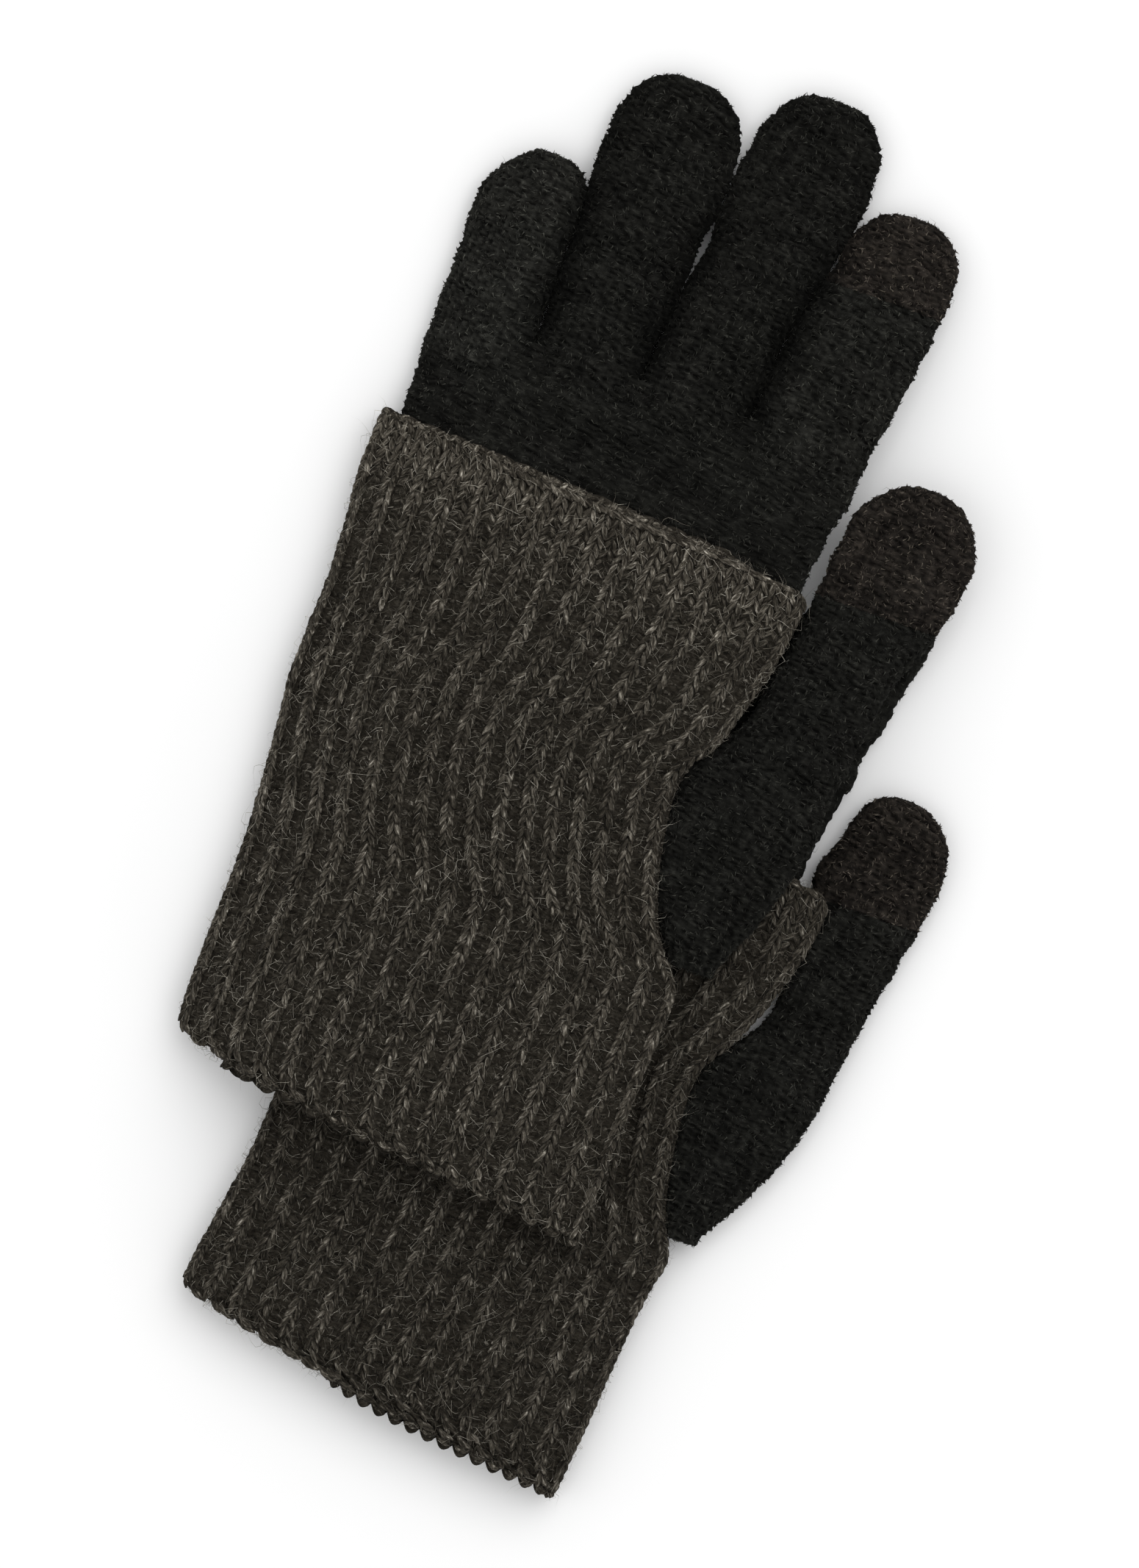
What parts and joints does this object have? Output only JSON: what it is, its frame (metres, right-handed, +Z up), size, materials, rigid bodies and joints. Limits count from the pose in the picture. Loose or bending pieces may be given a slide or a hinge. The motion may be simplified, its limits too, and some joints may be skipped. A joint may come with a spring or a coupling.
{
  "type": "two-in-one knitted gloves",
  "caption": "Pair of plush full-finger liner gloves with touch tips, each inside a ribbed wool fingerless sleeve, laid flat one on the other.",
  "frame": {"origin": "bottom centre of the bounding box of the pair, on the surface it lies on", "axes": "+Y along the gloves from the cuffs to the fingertips, +X towards the thumbs, +Z up through the stacked gloves"},
  "size_m": [0.16, 0.3289, 0.0258],
  "materials": {
    "liner_plush": "brushed fine knit, matt black",
    "touch_yarn": "brushed fine knit of dark brown conductive yarn",
    "wrist_rib_knit": "fine 1x1 rib, matt black",
    "sleeve_wool": "hairy charcoal heather wool rib",
    "seam_yarn": "linked wool seam"
  },
  "bodies": {
    "lower_glove": {"lower_liner_hand": "liner_plush", "lower_wrist_rib": "wrist_rib_knit", "lower_pinky_finger": "liner_plush", "lower_ring_finger": "liner_plush", "lower_middle_finger": "liner_plush", "lower_index_finger": "liner_plush", "lower_index_touch_tip": "touch_yarn"},
    "lower_sleeve_tube": {"lower_sleeve": "sleeve_wool", "lower_seam_above_thumb": "seam_yarn", "lower_seam_below_thumb": "seam_yarn"},
    "lower_thumb_stall": {"lower_thumb": "liner_plush", "lower_thumb_touch_tip": "touch_yarn"},
    "upper_glove": {"upper_liner_hand": "liner_plush", "upper_wrist_rib": "wrist_rib_knit"},
    "upper_sleeve_tube": {"upper_sleeve": "sleeve_wool", "upper_seam_above_thumb": "seam_yarn", "upper_seam_below_thumb": "seam_yarn"},
    "upper_thumb_stall": {"upper_thumb": "liner_plush", "upper_thumb_touch_tip": "touch_yarn"},
    "upper_pinky_stall": {"upper_pinky_finger": "liner_plush"},
    "upper_ring_stall": {"upper_ring_finger": "liner_plush"},
    "upper_middle_stall": {"upper_middle_finger": "liner_plush"},
    "upper_index_stall": {"upper_index_finger": "liner_plush", "upper_index_touch_tip": "touch_yarn"}
  },
  "joints": [
    {"name": "upper_glove_lift", "type": "slide", "parent": "lower_glove", "child": "upper_glove", "axis": [0, 0, 1], "range_m": [0, 0.08]},
    {"name": "lower_sleeve_shift", "type": "slide", "parent": "lower_glove", "child": "lower_sleeve_tube", "axis": [0, 1, 0], "range_m": [-0.003, 0.003]},
    {"name": "upper_sleeve_shift", "type": "slide", "parent": "upper_glove", "child": "upper_sleeve_tube", "axis": [0, 1, 0], "range_m": [-0.003, 0.003]},
    {"name": "lower_thumb_fold", "type": "hinge", "parent": "lower_glove", "child": "lower_thumb_stall", "pos_m": [0.0438, -0.066, 0.0098], "axis": [-0.1743, -0.9847, 0], "range_deg": [0, 90]},
    {"name": "upper_thumb_fold", "type": "hinge", "parent": "upper_glove", "child": "upper_thumb_stall", "pos_m": [0.0164, 0.005, 0.023], "axis": [-0.1961, -0.9806, 0], "range_deg": [0, 90]},
    {"name": "upper_pinky_fold", "type": "hinge", "parent": "upper_glove", "child": "upper_pinky_stall", "pos_m": [-0.0633, 0.088, 0.0143], "axis": [1, 0, 0], "range_deg": [0, 90]},
    {"name": "upper_ring_fold", "type": "hinge", "parent": "upper_glove", "child": "upper_ring_stall", "pos_m": [-0.038, 0.088, 0.0144], "axis": [1, 0, 0], "range_deg": [0, 90]},
    {"name": "upper_middle_fold", "type": "hinge", "parent": "upper_glove", "child": "upper_middle_stall", "pos_m": [-0.011, 0.088, 0.0144], "axis": [1, 0, 0], "range_deg": [0, 90]},
    {"name": "upper_index_fold", "type": "hinge", "parent": "upper_glove", "child": "upper_index_stall", "pos_m": [0.017, 0.088, 0.0144], "axis": [1, 0, 0], "range_deg": [0, 90]}
  ]
}
